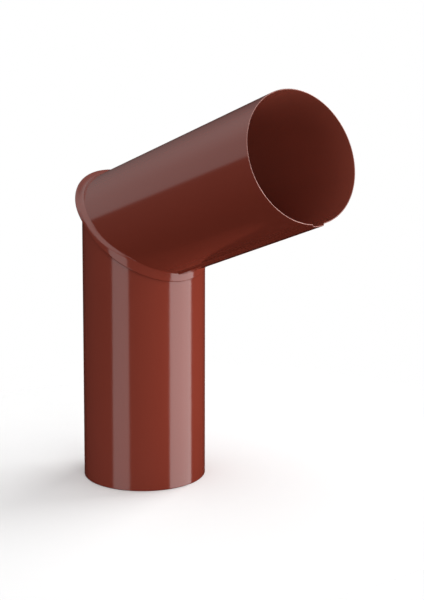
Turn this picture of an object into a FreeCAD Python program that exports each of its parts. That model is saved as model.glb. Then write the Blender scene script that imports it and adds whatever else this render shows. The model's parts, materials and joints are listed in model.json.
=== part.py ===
import FreeCAD, Part
import math
import os
import Sketcher
from FreeCAD import Placement, Rotation, Vector

# Downspout elbow of coated sheet steel, two rolled pipes joined by a folded seam.
# Millimetres, +Z up. The origin is the centre of the lower end, on the lower pipe's axis.
# The upper pipe leaves towards +X and rises, and both axes lie in the XZ plane.

SIZES = [
    ("pipe_diameter", 100.0, "outer diameter of both pipes"),
    ("sheet_thickness", 0.7, "sheet with its coating"),
    ("bend_angle", 70.0, "turn from the lower axis to the upper axis, degrees"),
    ("lower_leg", 210.0, "lower end to the corner of the axes"),
    ("upper_leg", 200.0, "corner of the axes to the upper end"),
    ("strip_width", 9.0, "flat top of the long joint along each pipe"),
    ("strip_rise", 1.4, "height of that joint above the pipe"),
    ("strip_ramp", 1.4, "run of each of its sloping sides"),
    ("upper_strip_angle", 0.0, "place of the upper pipe's joint, degrees from its underside"),
    ("lower_strip_angle", 180.0, "place of the lower pipe's joint, degrees from the throat"),
    ("seam_width_heel", 5.2, "folded seam at the outside of the bend"),
    ("seam_width_throat", 6.5, "folded seam at the inside of the bend"),
    ("seam_flat_until", 95.0, "the seam is pressed flat up to this angle from the throat"),
    ("seam_upright_from", 135.0, "the seam stands out from this angle from the throat"),
    ("seam_gap", 0.08, "play between the folded layers"),
    ("shoulder_rise", 1.3, "start of the pressed seam's shoulder above the mitre"),
    ("shoulder_run", 2.2, "run of that shoulder down the lower pipe"),
    ("root_fillet", 2.8, "hollow where the seam leaves the upper pipe outside the bend"),
    ("shoulder_low_until", 68.0, "the shoulder starts low up to this angle from the throat"),
    ("shoulder_high_from", 92.0, "the root fillet is full from this angle from the throat"),
]

SHEET = "Sizes"
# How the seam is drawn: sections round half the mitre, and points along its curves.
SEAM_STATIONS = 24
CURVE_STEPS = 5
FOLD_STEPS = 6
# Shares of a length: how full the shoulder's curve is, and how the flange leaves the wall.
EASE = 0.65
MOUTH_SHARE = 1.1
FLANGE_FOOT = 1.3
FLANGE_HEEL = 0.3
# Depth by which the seam sinks into the pipe wall it is one with, how far the upright hem
# clears the lower pipe's cut end, and spare length for cuts.
BITE = 0.25
HEM_LIFT = 0.01
SPARE = 8.0


def make_sizes(doc):
    """The driving dimensions, one named cell each."""
    cells = doc.addObject("Spreadsheet::Sheet", SHEET)
    for row, (alias, number, note) in enumerate(SIZES, start=1):
        cells.set("A%d" % row, note)
        cells.set("B%d" % row, str(number))
        cells.setAlias("B%d" % row, alias)
    doc.recompute()
    return cells


def origin_plane(body, role):
    """One of a body's own base planes."""
    return next(item for item in body.Origin.OriginFeatures if item.Role == role)


def new_sketch(body, name, role):
    """An empty sketch on one of the body's own base planes."""
    sketch = body.newObject("Sketcher::SketchObject", name)
    sketch.AttachmentSupport = (origin_plane(body, role), [""])
    sketch.MapMode = "FlatFace"
    return sketch


def cell(text):
    """An expression with every size name written as a cell of the sheet."""
    for alias, number, note in SIZES:
        text = text.replace("[" + alias + "]", SHEET + "." + alias)
    return text


def drive(sketch, index, text):
    """Ties one dimension of a sketch to the sheet."""
    sketch.setExpression("Constraints[%d]" % index, cell(text))


# Rolled section

RADIUS = "[pipe_diameter] / 2"
CHANNEL_SHIFT = "[sheet_thickness] * tan(atan([strip_rise] / [strip_ramp]) / 2)"


def section_outline(sketch, inset, inset_text, shift, shift_text, sizes):
    """One closed outline of the rolled sheet: a circle that steps outwards along the joint."""
    radius = sizes.pipe_diameter / 2 - inset
    top_radius = radius + sizes.strip_rise
    half_top = sizes.strip_width / 2 - shift
    half_foot = half_top + sizes.strip_ramp
    foot = math.asin(half_foot / radius)
    top = math.asin(half_top / top_radius)
    centre = Vector(0, 0, 0)
    axis = Vector(0, 0, 1)

    def at(distance, angle):
        return Vector(distance * math.cos(angle), distance * math.sin(angle), 0)

    round_part = sketch.addGeometry(
        Part.ArcOfCircle(Part.Circle(centre, axis, radius), foot, 2 * math.pi - foot))
    near_side = sketch.addGeometry(Part.LineSegment(at(radius, -foot), at(top_radius, -top)))
    top_part = sketch.addGeometry(
        Part.ArcOfCircle(Part.Circle(centre, axis, top_radius), -top, top))
    far_side = sketch.addGeometry(Part.LineSegment(at(top_radius, top), at(radius, foot)))
    add = sketch.addConstraint
    add(Sketcher.Constraint("Coincident", round_part, 3, -1, 1))
    add(Sketcher.Constraint("Coincident", top_part, 3, -1, 1))
    add(Sketcher.Constraint("Coincident", round_part, 2, near_side, 1))
    add(Sketcher.Constraint("Coincident", near_side, 2, top_part, 1))
    add(Sketcher.Constraint("Coincident", top_part, 2, far_side, 1))
    add(Sketcher.Constraint("Coincident", far_side, 2, round_part, 1))
    add(Sketcher.Constraint("Symmetric", round_part, 1, round_part, 2, -1))
    add(Sketcher.Constraint("Symmetric", top_part, 1, top_part, 2, -1))
    half_text = "[strip_width] / 2" + shift_text
    drive(sketch, add(Sketcher.Constraint("Radius", round_part, radius)), RADIUS + inset_text)
    drive(sketch, add(Sketcher.Constraint("Radius", top_part, top_radius)),
          RADIUS + inset_text + " + [strip_rise]")
    drive(sketch, add(Sketcher.Constraint("DistanceY", -1, 1, round_part, 1, half_foot)),
          half_text + " + [strip_ramp]")
    drive(sketch, add(Sketcher.Constraint("DistanceY", -1, 1, top_part, 2, half_top)), half_text)


def rolled_section(body, angle_alias, sizes):
    """The sheet rolled round, with its raised joint turned to its place."""
    sketch = new_sketch(body, body.Name + "_section", "XY_Plane")
    slope = math.atan(sizes.strip_rise / sizes.strip_ramp)
    shift = sizes.sheet_thickness * math.tan(slope / 2)
    section_outline(sketch, 0, "", 0, "", sizes)
    section_outline(sketch, sizes.sheet_thickness, " - [sheet_thickness]",
                    shift, " - " + CHANNEL_SHIFT, sizes)
    sketch.AttachmentOffset = Placement(Vector(0, 0, 0), Rotation(Vector(0, 0, 1), 1))
    sketch.setExpression("AttachmentOffset.Rotation.Angle", cell("[%s]" % angle_alias))
    return sketch


def mitre_cut(body, corners):
    """Cuts the pipe's end off along the mitre, with a four-sided sketch in the XZ plane."""
    sketch = new_sketch(body, body.Name + "_mitre", "XZ_Plane")
    count = len(corners)
    points = [Vector(x, y, 0) for x, y, x_text, y_text in corners]
    lines = [
        sketch.addGeometry(Part.LineSegment(points[i], points[(i + 1) % count]))
        for i in range(count)
    ]
    for i in range(count):
        sketch.addConstraint(
            Sketcher.Constraint("Coincident", lines[i], 2, lines[(i + 1) % count], 1))
    for line, (x, y, x_text, y_text) in zip(lines, corners):
        for kind, value, text in (("DistanceX", x, x_text), ("DistanceY", y, y_text)):
            ends = (-1, 1, line, 1) if value > 0 else (line, 1, -1, 1)
            index = sketch.addConstraint(Sketcher.Constraint(kind, *ends, abs(value)))
            drive(sketch, index, text)
    pocket = body.newObject("PartDesign::Pocket", body.Name + "_mitre_cut")
    pocket.Profile = sketch
    pocket.Type = "ThroughAll"
    pocket.SideType = "Symmetric"
    return pocket


REACH = "([pipe_diameter] / 2 + [strip_rise] + %s)" % SPARE
HALF_BEND = "tan([bend_angle] / 2)"


def lower_tube(doc, sizes):
    """The upright pipe, from its lower end to the mitre."""
    body = doc.addObject("PartDesign::Body", "lower_tube")
    pad = body.newObject("PartDesign::Pad", "lower_tube_wall")
    pad.Profile = rolled_section(body, "lower_strip_angle", sizes)
    pad.setExpression("Length", cell("[lower_leg] + %s * %s" % (REACH, HALF_BEND)))
    reach = sizes.pipe_diameter / 2 + sizes.strip_rise + SPARE
    rise = reach * math.tan(math.radians(sizes.bend_angle) / 2)
    leg = sizes.lower_leg
    above = "[lower_leg] + %s * %s + %s" % (REACH, HALF_BEND, SPARE)
    mitre_cut(body, [
        (-reach, leg + rise, REACH, "[lower_leg] + %s * %s" % (REACH, HALF_BEND)),
        (reach, leg - rise, REACH, "[lower_leg] - %s * %s" % (REACH, HALF_BEND)),
        (reach, leg + rise + SPARE, REACH, above),
        (-reach, leg + rise + SPARE, REACH, above),
    ])
    return body


def upper_tube(doc, sizes):
    """The rising pipe, modelled along its own axis and turned into place at the corner."""
    body = doc.addObject("PartDesign::Body", "upper_tube")
    pad = body.newObject("PartDesign::Pad", "upper_tube_wall")
    pad.Profile = rolled_section(body, "upper_strip_angle", sizes)
    pad.SideType = "Two sides"
    pad.setExpression("Length", cell("[upper_leg]"))
    pad.setExpression("Length2", cell("%s * %s" % (REACH, HALF_BEND)))
    reach = sizes.pipe_diameter / 2 + sizes.strip_rise + SPARE
    rise = reach * math.tan(math.radians(sizes.bend_angle) / 2)
    below = "%s * %s + %s" % (REACH, HALF_BEND, SPARE)
    mitre_cut(body, [
        (-reach, -rise, REACH, "%s * %s" % (REACH, HALF_BEND)),
        (reach, rise, REACH, "%s * %s" % (REACH, HALF_BEND)),
        (reach, -rise - SPARE, REACH, below),
        (-reach, -rise - SPARE, REACH, below),
    ])
    body.Placement = Placement(Vector(0, 0, sizes.lower_leg), Rotation(Vector(0, 1, 0), 1))
    body.setExpression("Placement.Base.z", cell("[lower_leg]"))
    body.setExpression("Placement.Rotation.Angle", cell("[bend_angle]"))
    return body


# Folded seam
# A section of the seam lies across the mitre edge. In it, +p points away from the pipe in
# the mitre plane, and +q points to the upper pipe. The seam's own axes are u, from the edge
# to the fold, and v, through its layers.

def blend(start, end, share):
    return start + (end - start) * share


def smooth_step(value):
    value = min(max(value, 0.0), 1.0)
    return value * value * (3 - 2 * value)


class SeamStation:
    """One cross-section of the seam, at an angle from the throat about the lower axis."""

    def __init__(self, sizes, angle):
        radius = sizes.pipe_diameter / 2
        half_bend = math.radians(sizes.bend_angle) / 2
        across = Vector(math.cos(half_bend), 0, -math.sin(half_bend))
        side = Vector(0, 1, 0)
        self.up = Vector(math.sin(half_bend), 0, math.cos(half_bend))
        turn = math.radians(angle)
        corner = Vector(0, 0, sizes.lower_leg)
        self.edge = (corner + across * (radius * math.cos(turn) / math.cos(half_bend))
                     + side * (radius * math.sin(turn)))
        self.out = across * (math.cos(turn) * math.cos(half_bend)) + side * math.sin(turn)
        self.out.normalize()
        lean = math.sin(half_bend) * self.out.dot(across)
        self.wall = math.atan2(math.cos(half_bend), lean)
        span = sizes.seam_upright_from - sizes.seam_flat_until
        upright = smooth_step((abs(angle) - sizes.seam_flat_until) / span)
        self.flat = 1 - upright
        climb_span = sizes.shoulder_high_from - sizes.shoulder_low_until
        self.climb = smooth_step((abs(angle) - sizes.shoulder_low_until) / climb_span)
        self.tilt = self.wall * self.flat
        self.width = blend(sizes.seam_width_heel, sizes.seam_width_throat,
                           (1 + math.cos(turn)) / 2)

    def point(self, p, q):
        return self.edge + self.out * p + self.up * q

    def layer(self, u, v):
        p = u * math.cos(self.tilt) + v * math.sin(self.tilt)
        q = v * math.cos(self.tilt) - u * math.sin(self.tilt)
        return self.point(p, q)

    def on_upper_wall(self, distance, depth):
        p = distance * math.cos(self.wall) - depth * math.sin(self.wall)
        q = distance * math.sin(self.wall) + depth * math.cos(self.wall)
        return self.point(p, q)

    def on_lower_wall(self, distance, depth):
        p = distance * math.cos(self.wall) - depth * math.sin(self.wall)
        q = -distance * math.sin(self.wall) - depth * math.cos(self.wall)
        return self.point(p, q)


def seam_levels(sizes, station):
    """Heights of the seam's layers, from the return of the hem to its top face."""
    sheet = sizes.sheet_thickness
    gap = sizes.seam_gap
    base = blend(HEM_LIFT - 2 * (sheet + gap), gap, station.flat)
    return base, base + sheet, base + 2 * sheet + 2 * gap, base + 3 * sheet + 2 * gap


def pocket_mouth(sizes, station):
    """Where the flange's straight run starts, clear of the pipe wall."""
    sheet = sizes.sheet_thickness
    return blend(sheet, MOUTH_SHARE * (2 * sheet + sizes.seam_gap), station.flat)


def bezier_points(poles, count):
    """Points along a cubic curve, both ends included."""
    curve = Part.BezierCurve()
    curve.setPoles(poles)
    return [curve.value(i / count) for i in range(count + 1)]


def hem_wire(sizes, station):
    """The upper sheet: over a shoulder, out to the fold and back under the flange."""
    sheet = sizes.sheet_thickness
    gap = sizes.seam_gap
    base, pocket_floor, pocket_roof, top = seam_levels(sizes, station)
    flat = station.flat
    meet = sheet / math.sin(station.wall)
    start = blend(sizes.shoulder_rise, meet + sizes.root_fillet, station.climb)
    reach = blend(meet * math.cos(station.wall) + sizes.root_fillet, sizes.shoulder_run, flat)
    ease_wall = EASE * blend(sizes.shoulder_rise, sizes.root_fillet, station.climb)
    ease_top = EASE * blend(sizes.root_fillet, EASE * sizes.shoulder_run, flat)
    pocket_end = station.width - sheet - gap
    return_start = blend(sizes.strip_rise + sheet, 3 * sheet + 2 * gap, flat)
    half_wall = sheet / math.sin(station.wall) / 2

    shoulder = bezier_points([
        station.on_upper_wall(start, BITE),
        station.on_upper_wall(start - ease_wall, BITE),
        station.layer(reach - ease_top, top),
        station.layer(reach, top),
    ], CURVE_STEPS)
    fold = (top - base) / 2
    turns = [math.pi / 2 - math.pi * i / FOLD_STEPS for i in range(FOLD_STEPS + 1)]
    folded = [
        station.layer(station.width - fold * (1 - math.cos(turn)),
                      base + fold * (1 + math.sin(turn)))
        for turn in turns
    ]
    inside = [
        station.layer(return_start, base),
        station.layer(return_start, pocket_floor),
        station.layer(pocket_end, pocket_floor),
        station.layer(pocket_end, pocket_roof),
        station.layer(pocket_mouth(sizes, station), pocket_roof),
        station.point(-half_wall, blend(BITE, 2 * BITE, flat)),
    ]
    return Part.makePolygon(shoulder + folded + inside + shoulder[:1])


def flange_wire(sizes, station):
    """The lower sheet: turned out at the mitre and held inside the hem."""
    sheet = sizes.sheet_thickness
    gap = sizes.seam_gap
    base, pocket_floor, pocket_roof, top = seam_levels(sizes, station)
    flat = station.flat
    start = pocket_mouth(sizes, station) + 2 * gap
    end = station.width - sheet - 2 * gap
    half_wall = sheet / math.sin(station.wall) / 2
    foot = blend(2 * half_wall, FLANGE_FOOT * sheet, flat)
    corners = [
        station.point(-half_wall, -gap),
        station.point(0, -gap),
        station.layer(start, pocket_roof - gap),
        station.layer(end, pocket_roof - gap),
        station.layer(end, pocket_floor + gap),
        station.layer(start + flat * FLANGE_HEEL * sheet, pocket_floor + gap),
        station.on_lower_wall(foot, BITE),
    ]
    return Part.makePolygon(corners + corners[:1])


def seam_ring(sizes, section):
    """A seam sheet lofted round half the mitre, from heel to throat, and mirrored."""
    step = 180.0 / SEAM_STATIONS
    wires = [section(sizes, SeamStation(sizes, -180 + step * i)) for i in range(SEAM_STATIONS + 1)]
    half = Part.makeLoft(wires, True, False, False)
    other = half.mirror(Vector(0, 0, 0), Vector(0, 1, 0))
    return half.fuse(other)


def seam_sheet(doc, name, sizes, section):
    """A seam sheet as an object of the document."""
    sheet = doc.addObject("Part::Feature", name)
    sheet.Shape = seam_ring(sizes, section)
    return sheet


def lower_pipe(doc, sizes):
    """The upright pipe with the flange that the seam holds."""
    pipe = doc.addObject("Part::MultiFuse", "lower_pipe")
    pipe.Shapes = [lower_tube(doc, sizes), seam_sheet(doc, "seam_flange", sizes, flange_wire)]
    return pipe


def upper_pipe(doc, sizes):
    """The rising pipe with the hem that folds round the lower pipe's flange."""
    pipe = doc.addObject("Part::MultiFuse", "upper_pipe")
    pipe.Shapes = [upper_tube(doc, sizes), seam_sheet(doc, "seam_hem", sizes, hem_wire)]
    return pipe


def check(doc, pipes):
    """Stops if any object failed or a pipe is not one sound solid."""
    for item in doc.Objects:
        if any(state in ("Invalid", "Error") for state in item.State):
            raise RuntimeError("%s failed: %s" % (item.Label, item.State))
    for pipe in pipes:
        shape = pipe.Shape
        if shape.isNull() or not shape.isValid() or len(shape.Solids) != 1:
            raise RuntimeError("%s is not one sound solid" % pipe.Label)


def main():
    doc = FreeCAD.newDocument("downspout_elbow")
    sizes = make_sizes(doc)
    pipes = [lower_pipe(doc, sizes), upper_pipe(doc, sizes)]
    doc.recompute()
    check(doc, pipes)
    os.makedirs("parts", exist_ok=True)
    for pipe in pipes:
        pipe.Shape.exportStep(os.path.join("parts", pipe.Label + ".step"))
        box = pipe.Shape.BoundBox
        print("%-12s %9.1f mm3, faces %d, x %.2f..%.2f, y %.2f..%.2f, z %.2f..%.2f" % (
            pipe.Label, pipe.Shape.Volume, len(pipe.Shape.Faces),
            box.XMin, box.XMax, box.YMin, box.YMax, box.ZMin, box.ZMax))


if __name__ == "__main__":
    main()
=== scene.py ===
import json
import math
import bpy
import bmesh
from mathutils import Matrix, Vector


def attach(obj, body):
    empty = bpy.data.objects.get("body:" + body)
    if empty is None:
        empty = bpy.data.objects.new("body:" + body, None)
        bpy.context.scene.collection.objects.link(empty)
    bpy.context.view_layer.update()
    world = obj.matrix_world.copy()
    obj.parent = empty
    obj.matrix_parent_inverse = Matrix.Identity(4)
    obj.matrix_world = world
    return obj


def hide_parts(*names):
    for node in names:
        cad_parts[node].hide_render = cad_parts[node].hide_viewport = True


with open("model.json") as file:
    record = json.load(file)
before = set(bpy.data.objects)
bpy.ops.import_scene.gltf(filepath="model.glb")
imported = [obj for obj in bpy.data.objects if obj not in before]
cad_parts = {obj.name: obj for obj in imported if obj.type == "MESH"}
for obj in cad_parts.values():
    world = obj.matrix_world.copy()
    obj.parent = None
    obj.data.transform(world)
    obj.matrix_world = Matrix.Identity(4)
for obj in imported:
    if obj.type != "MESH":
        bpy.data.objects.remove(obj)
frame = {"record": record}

bl_info = {
    "name": "Downspout elbow",
    "version": (1, 0, 0),
    "blender": (4, 5, 0),
    "location": "View3D > Sidebar > Elbow",
    "description": "A coated steel downspout elbow with a folded seam, and a studio to show it in",
    "category": "Add Mesh",
}

MM = 0.001
BODY = "root"
SPIGOT = next(m for m in frame["record"]["mounts"] if m["name"] == "lower_spigot")


# Settings

class ElbowSettings(bpy.types.PropertyGroup):
    """Sizes of the elbow and the colour of its coating."""

    radius: bpy.props.FloatProperty(
        name="Pipe radius", description="Outer radius of both pipes",
        default=SPIGOT["dims"]["r_mm"] * MM, unit="LENGTH")
    sheet: bpy.props.FloatProperty(
        name="Sheet", description="Thickness of the sheet with its coating",
        default=0.7 * MM, unit="LENGTH", precision=5)
    bend: bpy.props.FloatProperty(
        name="Bend", description="Turn from the lower pipe's axis to the upper pipe's",
        default=math.radians(70), subtype="ANGLE")
    lower_leg: bpy.props.FloatProperty(
        name="Lower leg", description="Lower end to the corner of the axes",
        default=210 * MM, unit="LENGTH")
    upper_leg: bpy.props.FloatProperty(
        name="Upper leg", description="Corner of the axes to the upper end",
        default=200 * MM, unit="LENGTH")
    strip_width: bpy.props.FloatProperty(
        name="Joint width", description="Flat top of the long joint along each pipe",
        default=9 * MM, unit="LENGTH")
    strip_rise: bpy.props.FloatProperty(
        name="Joint rise", description="Height of the long joint above the pipe",
        default=1.4 * MM, unit="LENGTH", precision=5)
    strip_ramp: bpy.props.FloatProperty(
        name="Joint ramp", description="Run of each side of the long joint",
        default=1.4 * MM, unit="LENGTH", precision=5)
    seam_heel: bpy.props.FloatProperty(
        name="Seam at the heel", description="Width of the folded seam outside the bend",
        default=5.2 * MM, unit="LENGTH", precision=5)
    seam_throat: bpy.props.FloatProperty(
        name="Seam at the throat", description="Width of the folded seam inside the bend",
        default=6.5 * MM, unit="LENGTH", precision=5)
    flat_until: bpy.props.FloatProperty(
        name="Pressed until", description="The seam lies flat up to this angle from the throat",
        default=math.radians(95), subtype="ANGLE")
    upright_from: bpy.props.FloatProperty(
        name="Upright from", description="The seam stands out from this angle from the throat",
        default=math.radians(135), subtype="ANGLE")
    low_until: bpy.props.FloatProperty(
        name="Shoulder low until", description="The shoulder starts low up to this angle",
        default=math.radians(68), subtype="ANGLE")
    high_from: bpy.props.FloatProperty(
        name="Fillet full from", description="The root fillet is full from this angle",
        default=math.radians(92), subtype="ANGLE")
    root_fillet: bpy.props.FloatProperty(
        name="Root fillet", description="Hollow where the seam leaves the upper pipe",
        default=2.8 * MM, unit="LENGTH", precision=5)
    gap: bpy.props.FloatProperty(
        name="Play", description="Play between the folded layers",
        default=0.08 * MM, unit="LENGTH", precision=6)
    coating: bpy.props.FloatVectorProperty(
        name="Coating", description="Colour of the coating",
        default=(0.205, 0.034, 0.020), subtype="COLOR", size=3, min=0, max=1)
    # The colour inside the pipes is lighter than the coating: painted light that lifts the shaded
    # inside.
    inside_painted_light: bpy.props.FloatVectorProperty(
        name="Inside painted light", description="Colour of the coat inside the pipes, lightened as painted light",
        default=(0.300, 0.070, 0.045), subtype="COLOR", size=3, min=0, max=1)
    cut_metal: bpy.props.FloatVectorProperty(
        name="Cut edge", description="Colour of the sheet's cut edge",
        default=(0.30, 0.14, 0.12), subtype="COLOR", size=3, min=0, max=1)


class StudioSettings(bpy.types.PropertyGroup):
    """Camera, lamps and surroundings."""

    lens: bpy.props.FloatProperty(
        name="Lens", description="Focal length on a 36 mm sensor, in millimetres",
        default=84.41)
    shift: bpy.props.FloatProperty(
        name="Shift", description="Upward shift of the lens, in image lengths", default=-0.1667)
    place: bpy.props.FloatVectorProperty(
        name="Camera", description="Where the camera stands",
        default=(0.9108, -0.6763, 0.3770), subtype="TRANSLATION", unit="LENGTH", size=3)
    azimuth: bpy.props.FloatProperty(
        name="Azimuth", description="Turn of the camera about the vertical",
        default=math.radians(50.6), subtype="ANGLE")
    elevation: bpy.props.FloatProperty(
        name="Elevation", description="How far the camera looks down",
        default=math.radians(7.49), subtype="ANGLE")
    roll: bpy.props.FloatProperty(
        name="Roll", description="Turn of the camera about its own axis",
        default=math.radians(0.11), subtype="ANGLE")
    ambient: bpy.props.FloatProperty(
        name="Surroundings", description="Brightness of the room", default=0.04)
    overhead: bpy.props.FloatProperty(
        name="Overhead", description="Brightness of the soft light overhead", default=0.93)
    mirrored: bpy.props.FloatProperty(
        name="Reflected surroundings", description="Brightness of the room in reflections",
        default=0.09)
    overhead_mirrored: bpy.props.FloatProperty(
        name="Reflected overhead", description="Brightness of the soft light in reflections",
        default=1.6)
    behind: bpy.props.FloatProperty(
        name="Lit wall", description="Brightness of the wall straight behind the elbow",
        default=0.40)
    floor: bpy.props.FloatProperty(
        name="Floor", description="Brightness of the floor as it is seen", default=1.0)
    floor_bounce: bpy.props.FloatProperty(
        name="Floor bounce", description="Share of the light that the floor sends on",
        default=0.54)
    floor_near: bpy.props.FloatProperty(
        name="Floor fades from", description="Distance where the floor starts to fade",
        default=0.06, unit="LENGTH")
    floor_far: bpy.props.FloatProperty(
        name="Floor fades until", description="Distance where the floor ends",
        default=0.4, unit="LENGTH")


# Node trees

class Wire:
    """One socket, with arithmetic on it that adds the maths nodes."""

    def __init__(self, tree, socket):
        self.tree = tree
        self.socket = socket

    def __getitem__(self, name):
        return Wire(self.tree, self.socket.node.outputs[name])

    def __add__(self, other):
        return self.tree.maths("ADD", self, other)

    def __radd__(self, other):
        return self.tree.maths("ADD", other, self)

    def __sub__(self, other):
        return self.tree.maths("SUBTRACT", self, other)

    def __rsub__(self, other):
        return self.tree.maths("SUBTRACT", other, self)

    def __mul__(self, other):
        return self.tree.maths("MULTIPLY", self, other)

    def __rmul__(self, other):
        return self.tree.maths("MULTIPLY", other, self)

    def __truediv__(self, other):
        return self.tree.maths("DIVIDE", self, other)

    def is_vector(self):
        return self.socket.type == "VECTOR"


class Tree:
    """Builds a node tree from expressions."""

    def __init__(self, tree):
        self.tree = tree

    def node(self, kind, settings=None, values=None, output=0):
        """Adds a node, sets it, then fills its sockets. Returns one of its outputs."""
        made = self.tree.nodes.new(kind)
        for name, value in (settings or {}).items():
            setattr(made, name, value)
        for name, value in (values or {}).items():
            if isinstance(value, Wire):
                self.tree.links.new(value.socket, made.inputs[name])
            else:
                made.inputs[name].default_value = value
        return Wire(self, made.outputs[output]) if len(made.outputs) else made

    def maths(self, operation, *values):
        vectors = [isinstance(v, (tuple, Vector)) or isinstance(v, Wire) and v.is_vector()
                   for v in values]
        if not any(vectors):
            return self.node("ShaderNodeMath", {"operation": operation},
                             dict(enumerate(values)))
        if operation == "MULTIPLY" and not all(vectors):
            scaled, factor = values if vectors[0] else reversed(values)
            return self.node("ShaderNodeVectorMath", {"operation": "SCALE"},
                             {"Vector": scaled, "Scale": factor})
        return self.node("ShaderNodeVectorMath", {"operation": operation},
                         dict(enumerate(values)))

    def function(self, operation, value):
        return self.node("ShaderNodeMath", {"operation": operation}, {0: value})

    def bounded(self, value):
        """The value kept between 0 and 1."""
        return self.node("ShaderNodeMath", {"operation": "ADD", "use_clamp": True},
                         {0: value, 1: 0.0})

    def eased(self, value):
        """The value kept between 0 and 1, with soft ends."""
        share = self.bounded(value)
        return share * share * (3.0 - 2.0 * share)

    def mixed(self, start, end, share):
        return start + (end - start) * share


class Geometry(Tree):
    """A Geometry Nodes tree with named inputs."""

    def __init__(self, name, inputs):
        super().__init__(bpy.data.node_groups.new(name, "GeometryNodeTree"))
        face = self.tree.interface
        face.new_socket("Profile", in_out="INPUT", socket_type="NodeSocketGeometry")
        for label, kind in inputs:
            face.new_socket(label, in_out="INPUT", socket_type="NodeSocket" + kind)
        face.new_socket("Geometry", in_out="OUTPUT", socket_type="NodeSocketGeometry")
        self.start = self.tree.nodes.new("NodeGroupInput")

    def input(self, name):
        return Wire(self, self.start.outputs[name])

    def attribute(self, name):
        return self.node("GeometryNodeInputNamedAttribute", {"data_type": "FLOAT"},
                         {"Name": name}, "Attribute")

    def swept(self, steps):
        """The profile carried round a full turn, which each point keeps as its turn."""
        round_path = self.node("GeometryNodeCurvePrimitiveCircle", {"mode": "RADIUS"},
                               {"Resolution": steps, "Radius": 1.0}, "Curve")
        factor = self.node("GeometryNodeSplineParameter", {}, {}, "Factor")
        turned = self.node("GeometryNodeStoreNamedAttribute",
                           {"data_type": "FLOAT", "domain": "POINT"},
                           {"Geometry": round_path, "Name": "turn",
                            "Value": factor * (2 * math.pi)})
        outline = self.node("GeometryNodeMeshToCurve", {}, {"Mesh": self.input("Profile")})
        return self.node("GeometryNodeCurveToMesh", {},
                         {"Curve": turned, "Profile Curve": outline})

    def finish(self, mesh, place):
        """Puts the points in their places and closes the tree."""
        placed = self.node("GeometryNodeSetPosition", {},
                           {"Geometry": mesh, "Position": place})
        smooth = self.node("GeometryNodeSetShadeSmooth", {}, {0: placed})
        real = self.node("GeometryNodeRealizeInstances", {}, {0: smooth})
        coated = self.node("GeometryNodeSetMaterial", {},
                           {"Geometry": real, "Material": self.input("Material")})
        end = self.tree.nodes.new("NodeGroupOutput")
        self.tree.links.new(coated.socket, end.inputs[0])
        return self.tree


def profile_mesh(name, points):
    """A closed outline of edges, one point for each dictionary of attributes."""
    mesh = bpy.data.meshes.new(name)
    count = len(points)
    places = [(math.cos(2 * math.pi * i / count), math.sin(2 * math.pi * i / count), 0)
              for i in range(count)]
    mesh.from_pydata(places, [(i, (i + 1) % count) for i in range(count)], [])
    for key in points[0]:
        layer = mesh.attributes.new(key, "FLOAT", "POINT")
        layer.data.foreach_set("value", [float(point[key]) for point in points])
    return mesh


def grown(name, tree, profile, inputs):
    """Runs a tree on a profile and keeps the result as a plain mesh."""
    source = bpy.data.objects.new(name + "_profile", profile)
    bpy.context.scene.collection.objects.link(source)
    modifier = source.modifiers.new(name, "NODES")
    modifier.node_group = tree
    for item in tree.interface.items_tree:
        if item.in_out == "INPUT" and item.name in inputs:
            modifier[item.identifier] = inputs[item.name]
    graph = bpy.context.evaluated_depsgraph_get()
    mesh = bpy.data.meshes.new_from_object(source.evaluated_get(graph), depsgraph=graph)
    source.modifiers.clear()
    bpy.data.objects.remove(source)
    if not mesh.polygons:
        raise RuntimeError("%s came out empty" % name)
    shell = bmesh.new()
    shell.from_mesh(mesh)
    bmesh.ops.recalc_face_normals(shell, faces=shell.faces)
    shell.to_mesh(mesh)
    shell.free()
    mesh.name = name
    made = bpy.data.objects.new(name, mesh)
    bpy.context.scene.collection.objects.link(made)
    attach(made, BODY)
    return made


# Coating

# Sizes of the three noises: a broad cloud, a fine speck and the coating's orange peel.
CLOUD_SCALE = 9.0
SPECK_SCALE = 900.0
PEEL_SCALE = 420.0
# How much they change the tone, the gloss and the surface.
CLOUD_TONE = 0.10
SPECK_TONE = 0.08
ROUGHNESS = 0.13
CLOUD_ROUGHNESS = 0.05
SPECK_ROUGHNESS = 0.04
SPECK_HEIGHT = 0.4
PEEL_STRENGTH = 0.12
PEEL_DISTANCE = 0.00002
# The cut edge is duller and a little metallic.
CUT_ROUGHNESS = 0.1
CUT_METALLIC = 0.3


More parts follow.
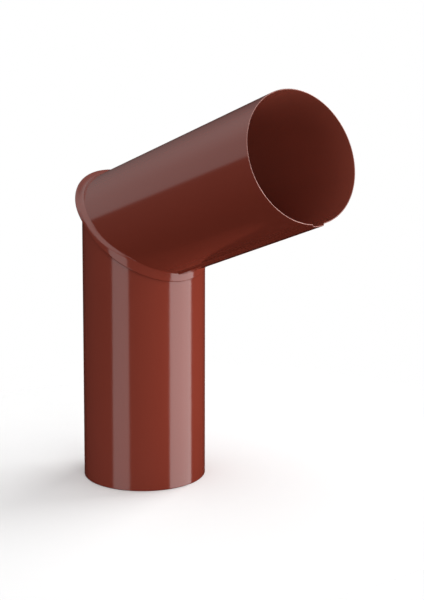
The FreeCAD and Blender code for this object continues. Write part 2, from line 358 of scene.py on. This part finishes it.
def coated_steel(settings):
    """Oxide red coating with a fine grain, lightened inside the pipes as painted light, and paler
    where the sheet is cut.
    """
    material = bpy.data.materials.get("Oxide red coating")
    if material:
        return material
    material = bpy.data.materials.new("Oxide red coating")
    material.use_nodes = True
    material.node_tree.nodes.clear()
    tree = Tree(material.node_tree)
    place = tree.node("ShaderNodeTexCoord", {}, {}, "Object")
    cut = tree.node("ShaderNodeAttribute", {"attribute_name": "cut"}, {}, "Fac")
    cloud, speck, peel = (
        tree.node("ShaderNodeTexNoise", {},
                  {"Vector": place, "Scale": scale, "Detail": detail}, "Fac")
        for scale, detail in ((CLOUD_SCALE, 3.0), (SPECK_SCALE, 2.0), (PEEL_SCALE, 3.0)))
    inner = tree.node("ShaderNodeAttribute", {"attribute_name": "inner"}, {}, "Fac")
    tone = 1.0 + (cloud - 0.5) * CLOUD_TONE + (speck - 0.5) * SPECK_TONE
    # Inside faces take the lighter colour, painted light that stands in for light reaching into
    # the pipes.
    red, green, blue = (tone * tree.mixed(outside, inside, inner) for outside, inside
                        in zip(settings.coating, settings.inside_painted_light))
    coating = tree.node("ShaderNodeCombineColor", {},
                        {"Red": red, "Green": green, "Blue": blue})
    colour = tree.node("ShaderNodeMix", {"data_type": "RGBA"}, {
        "Factor": cut, 6: coating, 7: (*settings.cut_metal, 1.0)}, 2)
    rough = (ROUGHNESS + (cloud - 0.5) * CLOUD_ROUGHNESS + (speck - 0.5) * SPECK_ROUGHNESS
             + cut * CUT_ROUGHNESS)
    bump = tree.node("ShaderNodeBump", {}, {
        "Height": peel + speck * SPECK_HEIGHT, "Strength": PEEL_STRENGTH,
        "Distance": PEEL_DISTANCE}, "Normal")
    shader = tree.node("ShaderNodeBsdfPrincipled", {}, {
        "Base Color": colour, "Roughness": rough, "Metallic": cut * CUT_METALLIC,
        "Normal": bump, "IOR": 1.5, "Specular IOR Level": 0.5})
    tree.node("ShaderNodeOutputMaterial", {}, {"Surface": shader})
    return material


# Pipes

ROUND_STEPS = 720
RIM_STEPS = 6
# Rows of points along a pipe: from its open end, as shares of its leg, and from its mitre.
RIM_BLEND = 0.4 * MM
ROWS_FROM_END = (3 * MM, 20 * MM)
ROW_SHARES = (0.35, 0.6, 0.8)
ROWS_FROM_MITRE = (12 * MM, 3 * MM, 0.5 * MM)


def pipe_tree():
    """Rolled sheet from an open end to the mitre, with a raised joint along it."""
    tree = Geometry("Rolled pipe", [
        ("Radius", "Float"), ("Leg", "Float"), ("Half bend", "Float"),
        ("Joint width", "Float"), ("Joint rise", "Float"), ("Joint ramp", "Float"),
        ("Joint angle", "Float"), ("Open end", "Vector"), ("To the throat", "Vector"),
        ("To the mitre", "Vector"), ("Steps", "Int"), ("Material", "Material")])
    mesh = tree.swept(tree.input("Steps"))
    turn = tree.attribute("turn")
    along = tree.attribute("along")
    depth = tree.attribute("depth")
    offset = turn - tree.input("Joint angle")
    aside = tree.node("ShaderNodeMath", {"operation": "ARCTAN2"},
                      {0: tree.function("SINE", offset), 1: tree.function("COSINE", offset)})
    span = tree.function("ABSOLUTE", aside) * tree.input("Radius")
    foot = tree.input("Joint width") / 2.0 + tree.input("Joint ramp")
    raised = tree.eased((foot - span) / tree.input("Joint ramp"))
    reach = tree.input("Radius") - depth + tree.input("Joint rise") * raised
    side = reach * tree.function("COSINE", turn)
    across = reach * tree.function("SINE", turn)
    slope = tree.function("TANGENT", tree.input("Half bend"))
    length = along * (tree.input("Leg") - side * slope) / tree.input("Leg")
    place = (tree.input("Open end") + tree.input("To the throat") * side
             + tree.input("To the mitre") * length
             + tree.node("ShaderNodeCombineXYZ", {}, {"Y": across}))
    return tree.finish(mesh, place)


def wall_profile(name, leg, sheet):
    """The sheet's wall cut along the pipe: rounded at the open end, square at the mitre."""
    half = sheet / 2
    rows = [half, half + RIM_BLEND, *ROWS_FROM_END, *(leg * share for share in ROW_SHARES),
            *(leg - back for back in ROWS_FROM_MITRE), leg]
    points = [{"along": row, "depth": 0.0, "inner": 0.0, "cut": 0.0} for row in rows]
    points += [{"along": row, "depth": sheet, "inner": 1.0, "cut": 0.0}
               for row in reversed(rows)]
    for i in range(1, RIM_STEPS):
        angle = math.pi * i / RIM_STEPS
        points.append({
            "along": half - half * math.sin(angle),
            "depth": half + half * math.cos(angle),
            "inner": 0.5 - 0.5 * math.cos(math.pi - angle),
            "cut": 1.0 if 1 < i < RIM_STEPS - 1 else 0.0,
        })
    return profile_mesh(name + "_wall", points)


def make_pipe(settings, name, leg, joint_angle, open_end, to_throat, to_mitre):
    tree = bpy.data.node_groups.get("Rolled pipe") or pipe_tree()
    return grown(name, tree, wall_profile(name, leg, settings.sheet), {
        "Radius": settings.radius, "Leg": leg, "Half bend": settings.bend / 2,
        "Joint width": settings.strip_width, "Joint rise": settings.strip_rise,
        "Joint ramp": settings.strip_ramp, "Joint angle": joint_angle,
        "Open end": open_end, "To the throat": to_throat, "To the mitre": to_mitre,
        "Steps": ROUND_STEPS, "Material": coated_steel(settings)})


class ELBOW_OT_lower_pipe(bpy.types.Operator):
    """Makes the upright pipe, from its lower end to the mitre"""

    bl_idname = "elbow.lower_pipe"
    bl_label = "Lower pipe"

    def execute(self, context):
        settings = context.scene.elbow
        pipe = make_pipe(settings, "lower_pipe_sheet", settings.lower_leg, math.pi,
                         Vector((0, 0, 0)), Vector((1, 0, 0)), Vector((0, 0, 1)))
        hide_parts("lower_pipe")
        return {"FINISHED"}


class ELBOW_OT_upper_pipe(bpy.types.Operator):
    """Makes the rising pipe, from its open end to the mitre"""

    bl_idname = "elbow.upper_pipe"
    bl_label = "Upper pipe"

    def execute(self, context):
        settings = context.scene.elbow
        axis = Vector((math.sin(settings.bend), 0, math.cos(settings.bend)))
        underside = Vector((math.cos(settings.bend), 0, -math.sin(settings.bend)))
        corner = Vector((0, 0, settings.lower_leg))
        pipe = make_pipe(settings, "upper_pipe_sheet", settings.upper_leg, 0.0,
                         corner + axis * settings.upper_leg, underside, -axis)
        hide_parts("upper_pipe")
        return {"FINISHED"}


# Folded seam
# Each outline point keeps where it sits while the seam stands upright and while it is pressed
# flat. u runs from the mitre edge to the fold, and rise counts from the hem's underside.

SEAM_STEPS = 480
FOLD_STEPS = 16
SHOULDER_STEPS = 10
# Power that squares the fold where the seam is pressed. At 1 it would be round.
PRESSED_SQUARE = 0.5
# The shoulder of the pressed seam, above the mitre and down the lower pipe.
SHOULDER_RISE = 1.3 * MM
SHOULDER_RUN = 2.2 * MM
# Next to the throat the sheet turns straight onto the seam's face, in a plain hollow.
HOLLOW_UNTIL = math.radians(35)
HOLLOW_GONE = math.radians(78)
HOLLOW = 1.2 * MM
# How deep the seam sinks into its own wall, and how full its curves are.
BITE = 0.25 * MM
EASE = 0.65
# Shares of the folded layers: where their straight run starts, and how the flange leaves
# the lower wall. The hem's root lies just inside the upper wall.
MOUTH_SHARE = 1.1
FLANGE_HEEL = 0.3
FLANGE_FOOT_UPRIGHT = 1.2
FLANGE_FOOT_PRESSED = 1.3
ROOT_UPRIGHT = 0.4 * MM
ROOT_PRESSED = 0.6 * MM


def seam_tree():
    """A folded seam round the mitre, upright at the heel and pressed flat at the throat."""
    tree = Geometry("Folded seam", [
        ("Radius", "Float"), ("Half bend", "Float"), ("Corner", "Float"), ("Sheet", "Float"),
        ("Play", "Float"), ("Width at heel", "Float"), ("Width at throat", "Float"),
        ("Flat until", "Float"), ("Upright from", "Float"), ("Low until", "Float"),
        ("High from", "Float"), ("Root fillet", "Float"), ("Steps", "Int"),
        ("Material", "Material")])
    mesh = tree.swept(tree.input("Steps"))
    turn = tree.attribute("turn")
    sheet = tree.input("Sheet")
    play = tree.input("Play")
    half = tree.input("Half bend")
    sine = tree.function("SINE", half)
    cosine = tree.function("COSINE", half)
    side = tree.function("COSINE", turn)
    across = tree.function("SINE", turn)

    out_x = side * cosine
    length = tree.function("SQRT", out_x * out_x + across * across)
    out_x = out_x / length
    out_y = across / length
    wall = tree.node("ShaderNodeMath", {"operation": "ARCTAN2"}, {0: cosine, 1: sine * out_x})
    from_throat = tree.function("ARCCOSINE", side)
    flat = 1.0 - tree.eased((from_throat - tree.input("Flat until"))
                            / (tree.input("Upright from") - tree.input("Flat until")))
    tilt = wall * flat
    width = tree.mixed(tree.input("Width at heel"), tree.input("Width at throat"),
                       side * 0.5 + 0.5)
    base = tree.mixed((sheet + play) * -2.0, play, flat)
    top = base + sheet * 3.0 + play * 2.0

    def on_layer(u, v):
        cos_tilt = tree.function("COSINE", tilt)
        sin_tilt = tree.function("SINE", tilt)
        return u * cos_tilt + v * sin_tilt, v * cos_tilt - u * sin_tilt

    def on_wall(distance, depth):
        cos_wall = tree.function("COSINE", wall)
        sin_wall = tree.function("SINE", wall)
        return distance * cos_wall - depth * sin_wall, distance * sin_wall + depth * cos_wall

    meet = sheet / tree.function("SINE", wall)
    fillet = tree.input("Root fillet")
    climb = tree.eased((from_throat - tree.input("Low until"))
                       / (tree.input("High from") - tree.input("Low until")))
    tuck = 1.0 - tree.eased((from_throat - HOLLOW_UNTIL) / (HOLLOW_GONE - HOLLOW_UNTIL))
    corner = wall + tilt
    low_start = tree.mixed(SHOULDER_RISE, top / tree.function("SINE", corner) + HOLLOW, tuck)
    low_reach = tree.mixed(SHOULDER_RUN, top / tree.function("TANGENT", corner) + HOLLOW, tuck)
    low_ease = tree.mixed(SHOULDER_RISE, HOLLOW, tuck)
    start = tree.mixed(low_start, meet + fillet, climb)
    reach = tree.mixed(meet * tree.function("COSINE", wall) + fillet, low_reach, flat)
    ease_wall = tree.mixed(low_ease, fillet, climb) * EASE
    ease_top = tree.mixed(fillet, tree.mixed(EASE * SHOULDER_RUN, HOLLOW, tuck), flat) * EASE
    poles = [on_wall(start, BITE), on_wall(start - ease_wall, BITE),
             on_layer(reach - ease_top, top), on_layer(reach, top)]
    ease = tree.attribute("ease")
    rest = 1.0 - ease
    shares = [rest * rest * rest, rest * rest * ease * 3.0, rest * ease * ease * 3.0,
              ease * ease * ease]

    u = (tree.mixed(tree.attribute("upright"), tree.attribute("pressed"), flat)
         + tree.attribute("hook") * width)
    lower_or_upper = tree.attribute("wall")
    on_a_wall = tree.function("ABSOLUTE", lower_or_upper)
    shoulder = tree.attribute("shoulder")
    layer_p, layer_q = on_layer(u, base + tree.attribute("rise"))
    wall_p, wall_q = on_wall(u, tree.attribute("depth"))
    curve_p = sum((pole[0] * share for pole, share in zip(poles, shares)), 0.0)
    curve_q = sum((pole[1] * share for pole, share in zip(poles, shares)), 0.0)
    out = tree.mixed(tree.mixed(layer_p, wall_p, on_a_wall), curve_p, shoulder)
    up = tree.mixed(tree.mixed(layer_q, wall_q * lower_or_upper, on_a_wall), curve_q, shoulder)

    along_mitre = tree.input("Radius") * side / cosine + out * out_x
    place = tree.node("ShaderNodeCombineXYZ", {}, {
        "X": along_mitre * cosine + up * sine,
        "Y": tree.input("Radius") * across + out * out_y,
        "Z": tree.input("Corner") - along_mitre * sine + up * cosine,
    })
    return tree.finish(mesh, place)


def seam_point(upright=0.0, pressed=None, hook=0.0, rise=0.0, ease=0.0, shoulder=0.0,
               wall=0.0, depth=0.0, cut=0.0):
    """One point of a seam's outline."""
    return {"upright": upright, "pressed": upright if pressed is None else pressed,
            "hook": hook, "rise": rise, "ease": ease, "shoulder": shoulder, "wall": wall,
            "depth": depth, "cut": cut}


def hem_outline(settings):
    """The upper sheet: over a shoulder, out to the fold, and back under the flange."""
    sheet, play = settings.sheet, settings.gap
    thick = 3 * sheet + 2 * play
    fold = thick / 2
    roof = 2 * sheet + 2 * play
    mouth = MOUTH_SHARE * (2 * sheet + play)
    points = [seam_point(ease=i / SHOULDER_STEPS, shoulder=1.0)
              for i in range(SHOULDER_STEPS + 1)]
    for i in range(FOLD_STEPS + 1):
        angle = math.pi / 2 - math.pi * i / FOLD_STEPS
        bulge = max(math.cos(angle), 0.0)
        points.append(seam_point(fold * (bulge - 1), fold * (bulge ** PRESSED_SQUARE - 1),
                                 hook=1.0, rise=fold + fold * math.sin(angle)))
    start = settings.strip_rise + sheet
    points.append(seam_point(start, thick, cut=1.0))
    points.append(seam_point(start, thick, rise=sheet, cut=1.0))
    points.append(seam_point(-sheet - play, hook=1.0, rise=sheet))
    points.append(seam_point(-sheet - play, hook=1.0, rise=roof))
    points.append(seam_point(sheet, mouth, rise=roof))
    points.append(seam_point(ROOT_UPRIGHT, ROOT_PRESSED, wall=1.0, depth=sheet / 2))
    return points


def flange_outline(settings):
    """The lower sheet: turned out at the mitre and held inside the hem."""
    sheet, play = settings.sheet, settings.gap
    roof = 2 * sheet + 2 * play
    mouth = MOUTH_SHARE * (2 * sheet + play) + 2 * play
    return [
        seam_point(play, wall=-1.0, depth=sheet / 2),
        seam_point(play, wall=-1.0),
        seam_point(sheet + 2 * play, mouth, rise=roof - play),
        seam_point(-sheet - 2 * play, hook=1.0, rise=roof - play),
        seam_point(-sheet - 2 * play, hook=1.0, rise=sheet + play),
        seam_point(sheet + 2 * play, mouth + FLANGE_HEEL * sheet, rise=sheet + play),
        seam_point(FLANGE_FOOT_UPRIGHT * sheet, FLANGE_FOOT_PRESSED * sheet, wall=-1.0,
                   depth=BITE),
    ]


class ELBOW_OT_folded_seam(bpy.types.Operator):
    """Makes the hem of the upper pipe and the flange of the lower pipe that it holds"""

    bl_idname = "elbow.folded_seam"
    bl_label = "Folded seam"

    def execute(self, context):
        settings = context.scene.elbow
        tree = bpy.data.node_groups.get("Folded seam") or seam_tree()
        sizes = {
            "Radius": settings.radius, "Half bend": settings.bend / 2,
            "Corner": settings.lower_leg, "Sheet": settings.sheet, "Play": settings.gap,
            "Width at heel": settings.seam_heel, "Width at throat": settings.seam_throat,
            "Flat until": settings.flat_until, "Upright from": settings.upright_from,
            "Low until": settings.low_until, "High from": settings.high_from,
            "Root fillet": settings.root_fillet,
            "Steps": SEAM_STEPS, "Material": coated_steel(settings)}
        for name, outline in (("seam_hem", hem_outline), ("seam_flange", flange_outline)):
            grown(name, tree, profile_mesh(name + "_outline", outline(settings)), sizes)
        return {"FINISHED"}


# Stage

# The overhead light leans to the front, and fades out towards the horizon.
OVERHEAD_LEAN = math.radians(35)
OVERHEAD_FROM = math.sin(math.radians(12))
OVERHEAD_FULL = math.sin(math.radians(32))
# The wall behind and to the left is lit above the horizon, brighter towards the front.
BEHIND_FROM = 0.3
BEHIND_FULL = 0.6
BEHIND_SLOPE = 0.62
HORIZON_DEPTH = 0.04
HORIZON_SOFTNESS = 0.05
# How far the mirrored room reaches below the overhead light.
MIRRORED_REACH = 0.5
# Each lamp's name, azimuth and elevation in degrees, distance, size and power. The pale
# bands on the lower pipe mirror the first two.
PANELS = (
    ("left_panel", -82.5, -11, 2.4, (1.36, 1.6), 11.2),
    ("right_panel", 37, -2, 2.4, (2.26, 2.6), 66),
    ("side_panel", 90, 28, 2.4, (2.0, 1.2), 46),
    ("front_panel", -16, 7, 2.0, (1.0, 0.5), 12),
)
PANEL_AIM = Vector((0.05, 0, 0.15))
FLOOR_REACH = 6.0
# The floor lies just under the elbow, so that the two don't share a plane.
FLOOR_DROP = 0.0002


def add_panel(name, azimuth, elevation, distance, size, power):
    """A soft lamp that faces the elbow from a direction, angles in degrees."""
    turn, lift = math.radians(azimuth), math.radians(elevation)
    back = Vector((math.cos(turn) * math.cos(lift), math.sin(turn) * math.cos(lift),
                   math.sin(lift)))
    lamp = bpy.data.lights.new(name, "AREA")
    lamp.shape = "RECTANGLE"
    lamp.size, lamp.size_y = size
    lamp.energy = power
    holder = bpy.data.objects.new(name, lamp)
    holder.location = PANEL_AIM + back * distance
    holder.rotation_mode = "QUATERNION"
    holder.rotation_quaternion = back.to_track_quat("Z", "Y")
    bpy.context.scene.collection.objects.link(holder)


def add_camera(studio):
    lens = bpy.data.cameras.new("Camera")
    lens.lens = studio.lens
    lens.sensor_width = 36
    lens.shift_y = studio.shift
    lens.clip_start = 0.01
    lens.clip_end = 50
    camera = bpy.data.objects.new("Camera", lens)
    turn, lift = studio.azimuth, studio.elevation
    back = Vector((math.sin(turn) * math.cos(lift), -math.cos(turn) * math.cos(lift),
                   math.sin(lift)))
    right = Vector((math.cos(turn), math.sin(turn), 0))
    up = back.cross(right)
    turned = Matrix((right, up, back)).transposed() @ Matrix.Rotation(studio.roll, 3, "Z")
    camera.matrix_world = Matrix.Translation(studio.place) @ turned.to_4x4()
    bpy.context.scene.collection.objects.link(camera)
    bpy.context.scene.camera = camera


def add_floor(studio):
    mesh = bpy.data.meshes.new("floor")
    far = FLOOR_REACH
    mesh.from_pydata([(-far, -far, 0), (far, -far, 0), (far, far, 0), (-far, far, 0)],
                     [], [(0, 1, 2, 3)])
    floor = bpy.data.objects.new("floor", mesh)
    floor.location.z = -FLOOR_DROP
    bpy.context.scene.collection.objects.link(floor)
    material = bpy.data.materials.new("Pale floor")
    material.use_nodes = True
    material.node_tree.nodes.clear()
    tree = Tree(material.node_tree)
    place = tree.node("ShaderNodeTexCoord", {}, {}, "Object")
    away = tree.node("ShaderNodeVectorMath", {"operation": "LENGTH"}, {0: place}, "Value")
    fade = tree.eased((away - studio.floor_near) / (studio.floor_far - studio.floor_near))
    seen = tree.node("ShaderNodeLightPath", {}, {}, "Is Camera Ray")
    pale = tree.mixed(studio.floor_bounce, studio.floor, seen)
    colour = tree.node("ShaderNodeCombineColor", {}, {"Red": pale, "Green": pale, "Blue": pale})
    diffuse = tree.node("ShaderNodeBsdfDiffuse", {}, {"Color": colour})
    clear = tree.node("ShaderNodeBsdfTransparent", {}, {})
    shader = tree.node("ShaderNodeMixShader", {}, {0: fade, 1: diffuse, 2: clear})
    tree.node("ShaderNodeOutputMaterial", {}, {"Surface": shader})
    mesh.materials.append(material)
    floor.visible_glossy = False


def add_world(studio):
    world = bpy.data.worlds.new("Studio")
    world.use_nodes = True
    world.node_tree.nodes.clear()
    tree = Tree(world.node_tree)
    path = tree.node("ShaderNodeLightPath", {}, {}, "Is Camera Ray")
    way = tree.node("ShaderNodeTexCoord", {}, {}, "Generated")
    parts = tree.node("ShaderNodeSeparateXYZ", {}, {"Vector": way}, "Y")
    height = parts["Z"]
    behind = (tree.eased((parts["X"] + BEHIND_FROM) / (BEHIND_FROM - BEHIND_FULL))
              * tree.eased((height + HORIZON_DEPTH) / HORIZON_SOFTNESS)
              * tree.bounded(studio.behind - parts * BEHIND_SLOPE))
    facing = height * math.cos(OVERHEAD_LEAN) - parts * math.sin(OVERHEAD_LEAN)
    share = (tree.eased(facing)
             * tree.eased((height - OVERHEAD_FROM) / (OVERHEAD_FULL - OVERHEAD_FROM)))
    glossy = path["Is Glossy Ray"]
    mirrored = tree.eased(facing + MIRRORED_REACH) * studio.mirrored
    level = tree.mixed(tree.mixed(studio.ambient, mirrored, glossy) + behind,
                       tree.mixed(studio.overhead, studio.overhead_mirrored, glossy), share)
    level = tree.mixed(level, 1.0, path)
    glow = tree.node("ShaderNodeBackground", {}, {"Color": (1, 1, 1, 1), "Strength": level})
    tree.node("ShaderNodeOutputWorld", {}, {"Surface": glow})
    bpy.context.scene.world = world


class ELBOW_OT_stage(bpy.types.Operator):
    """Sets up the camera, the floor, the lamps and the surroundings"""

    bl_idname = "elbow.stage"
    bl_label = "Stage"

    def execute(self, context):
        studio = context.scene.studio
        add_camera(studio)
        add_floor(studio)
        add_world(studio)
        for panel in PANELS:
            add_panel(*panel)
        context.scene.view_settings.view_transform = "Standard"
        return {"FINISHED"}


# Panel

class ELBOW_PT_panel(bpy.types.Panel):
    """Lists the elbow's pieces and its stage"""

    bl_label = "Downspout elbow"
    bl_idname = "ELBOW_PT_panel"
    bl_space_type = "VIEW_3D"
    bl_region_type = "UI"
    bl_category = "Elbow"

    def draw(self, context):
        for step in STEPS:
            self.layout.operator(step.bl_idname)
        for settings in (context.scene.elbow, context.scene.studio):
            for name in settings.__annotations__:
                self.layout.prop(settings, name)


STEPS = (ELBOW_OT_lower_pipe, ELBOW_OT_upper_pipe, ELBOW_OT_folded_seam, ELBOW_OT_stage)
CLASSES = (ElbowSettings, StudioSettings, *STEPS, ELBOW_PT_panel)


def register():
    for kind in CLASSES:
        bpy.utils.register_class(kind)
    bpy.types.Scene.elbow = bpy.props.PointerProperty(type=ElbowSettings)
    bpy.types.Scene.studio = bpy.props.PointerProperty(type=StudioSettings)


def unregister():
    del bpy.types.Scene.studio
    del bpy.types.Scene.elbow
    for kind in reversed(CLASSES):
        bpy.utils.unregister_class(kind)


def main():
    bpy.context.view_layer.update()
    register()
    for step in STEPS:
        group, name = step.bl_idname.split(".")
        getattr(getattr(bpy.ops, group), name)()


if __name__ == "__main__":
    main()
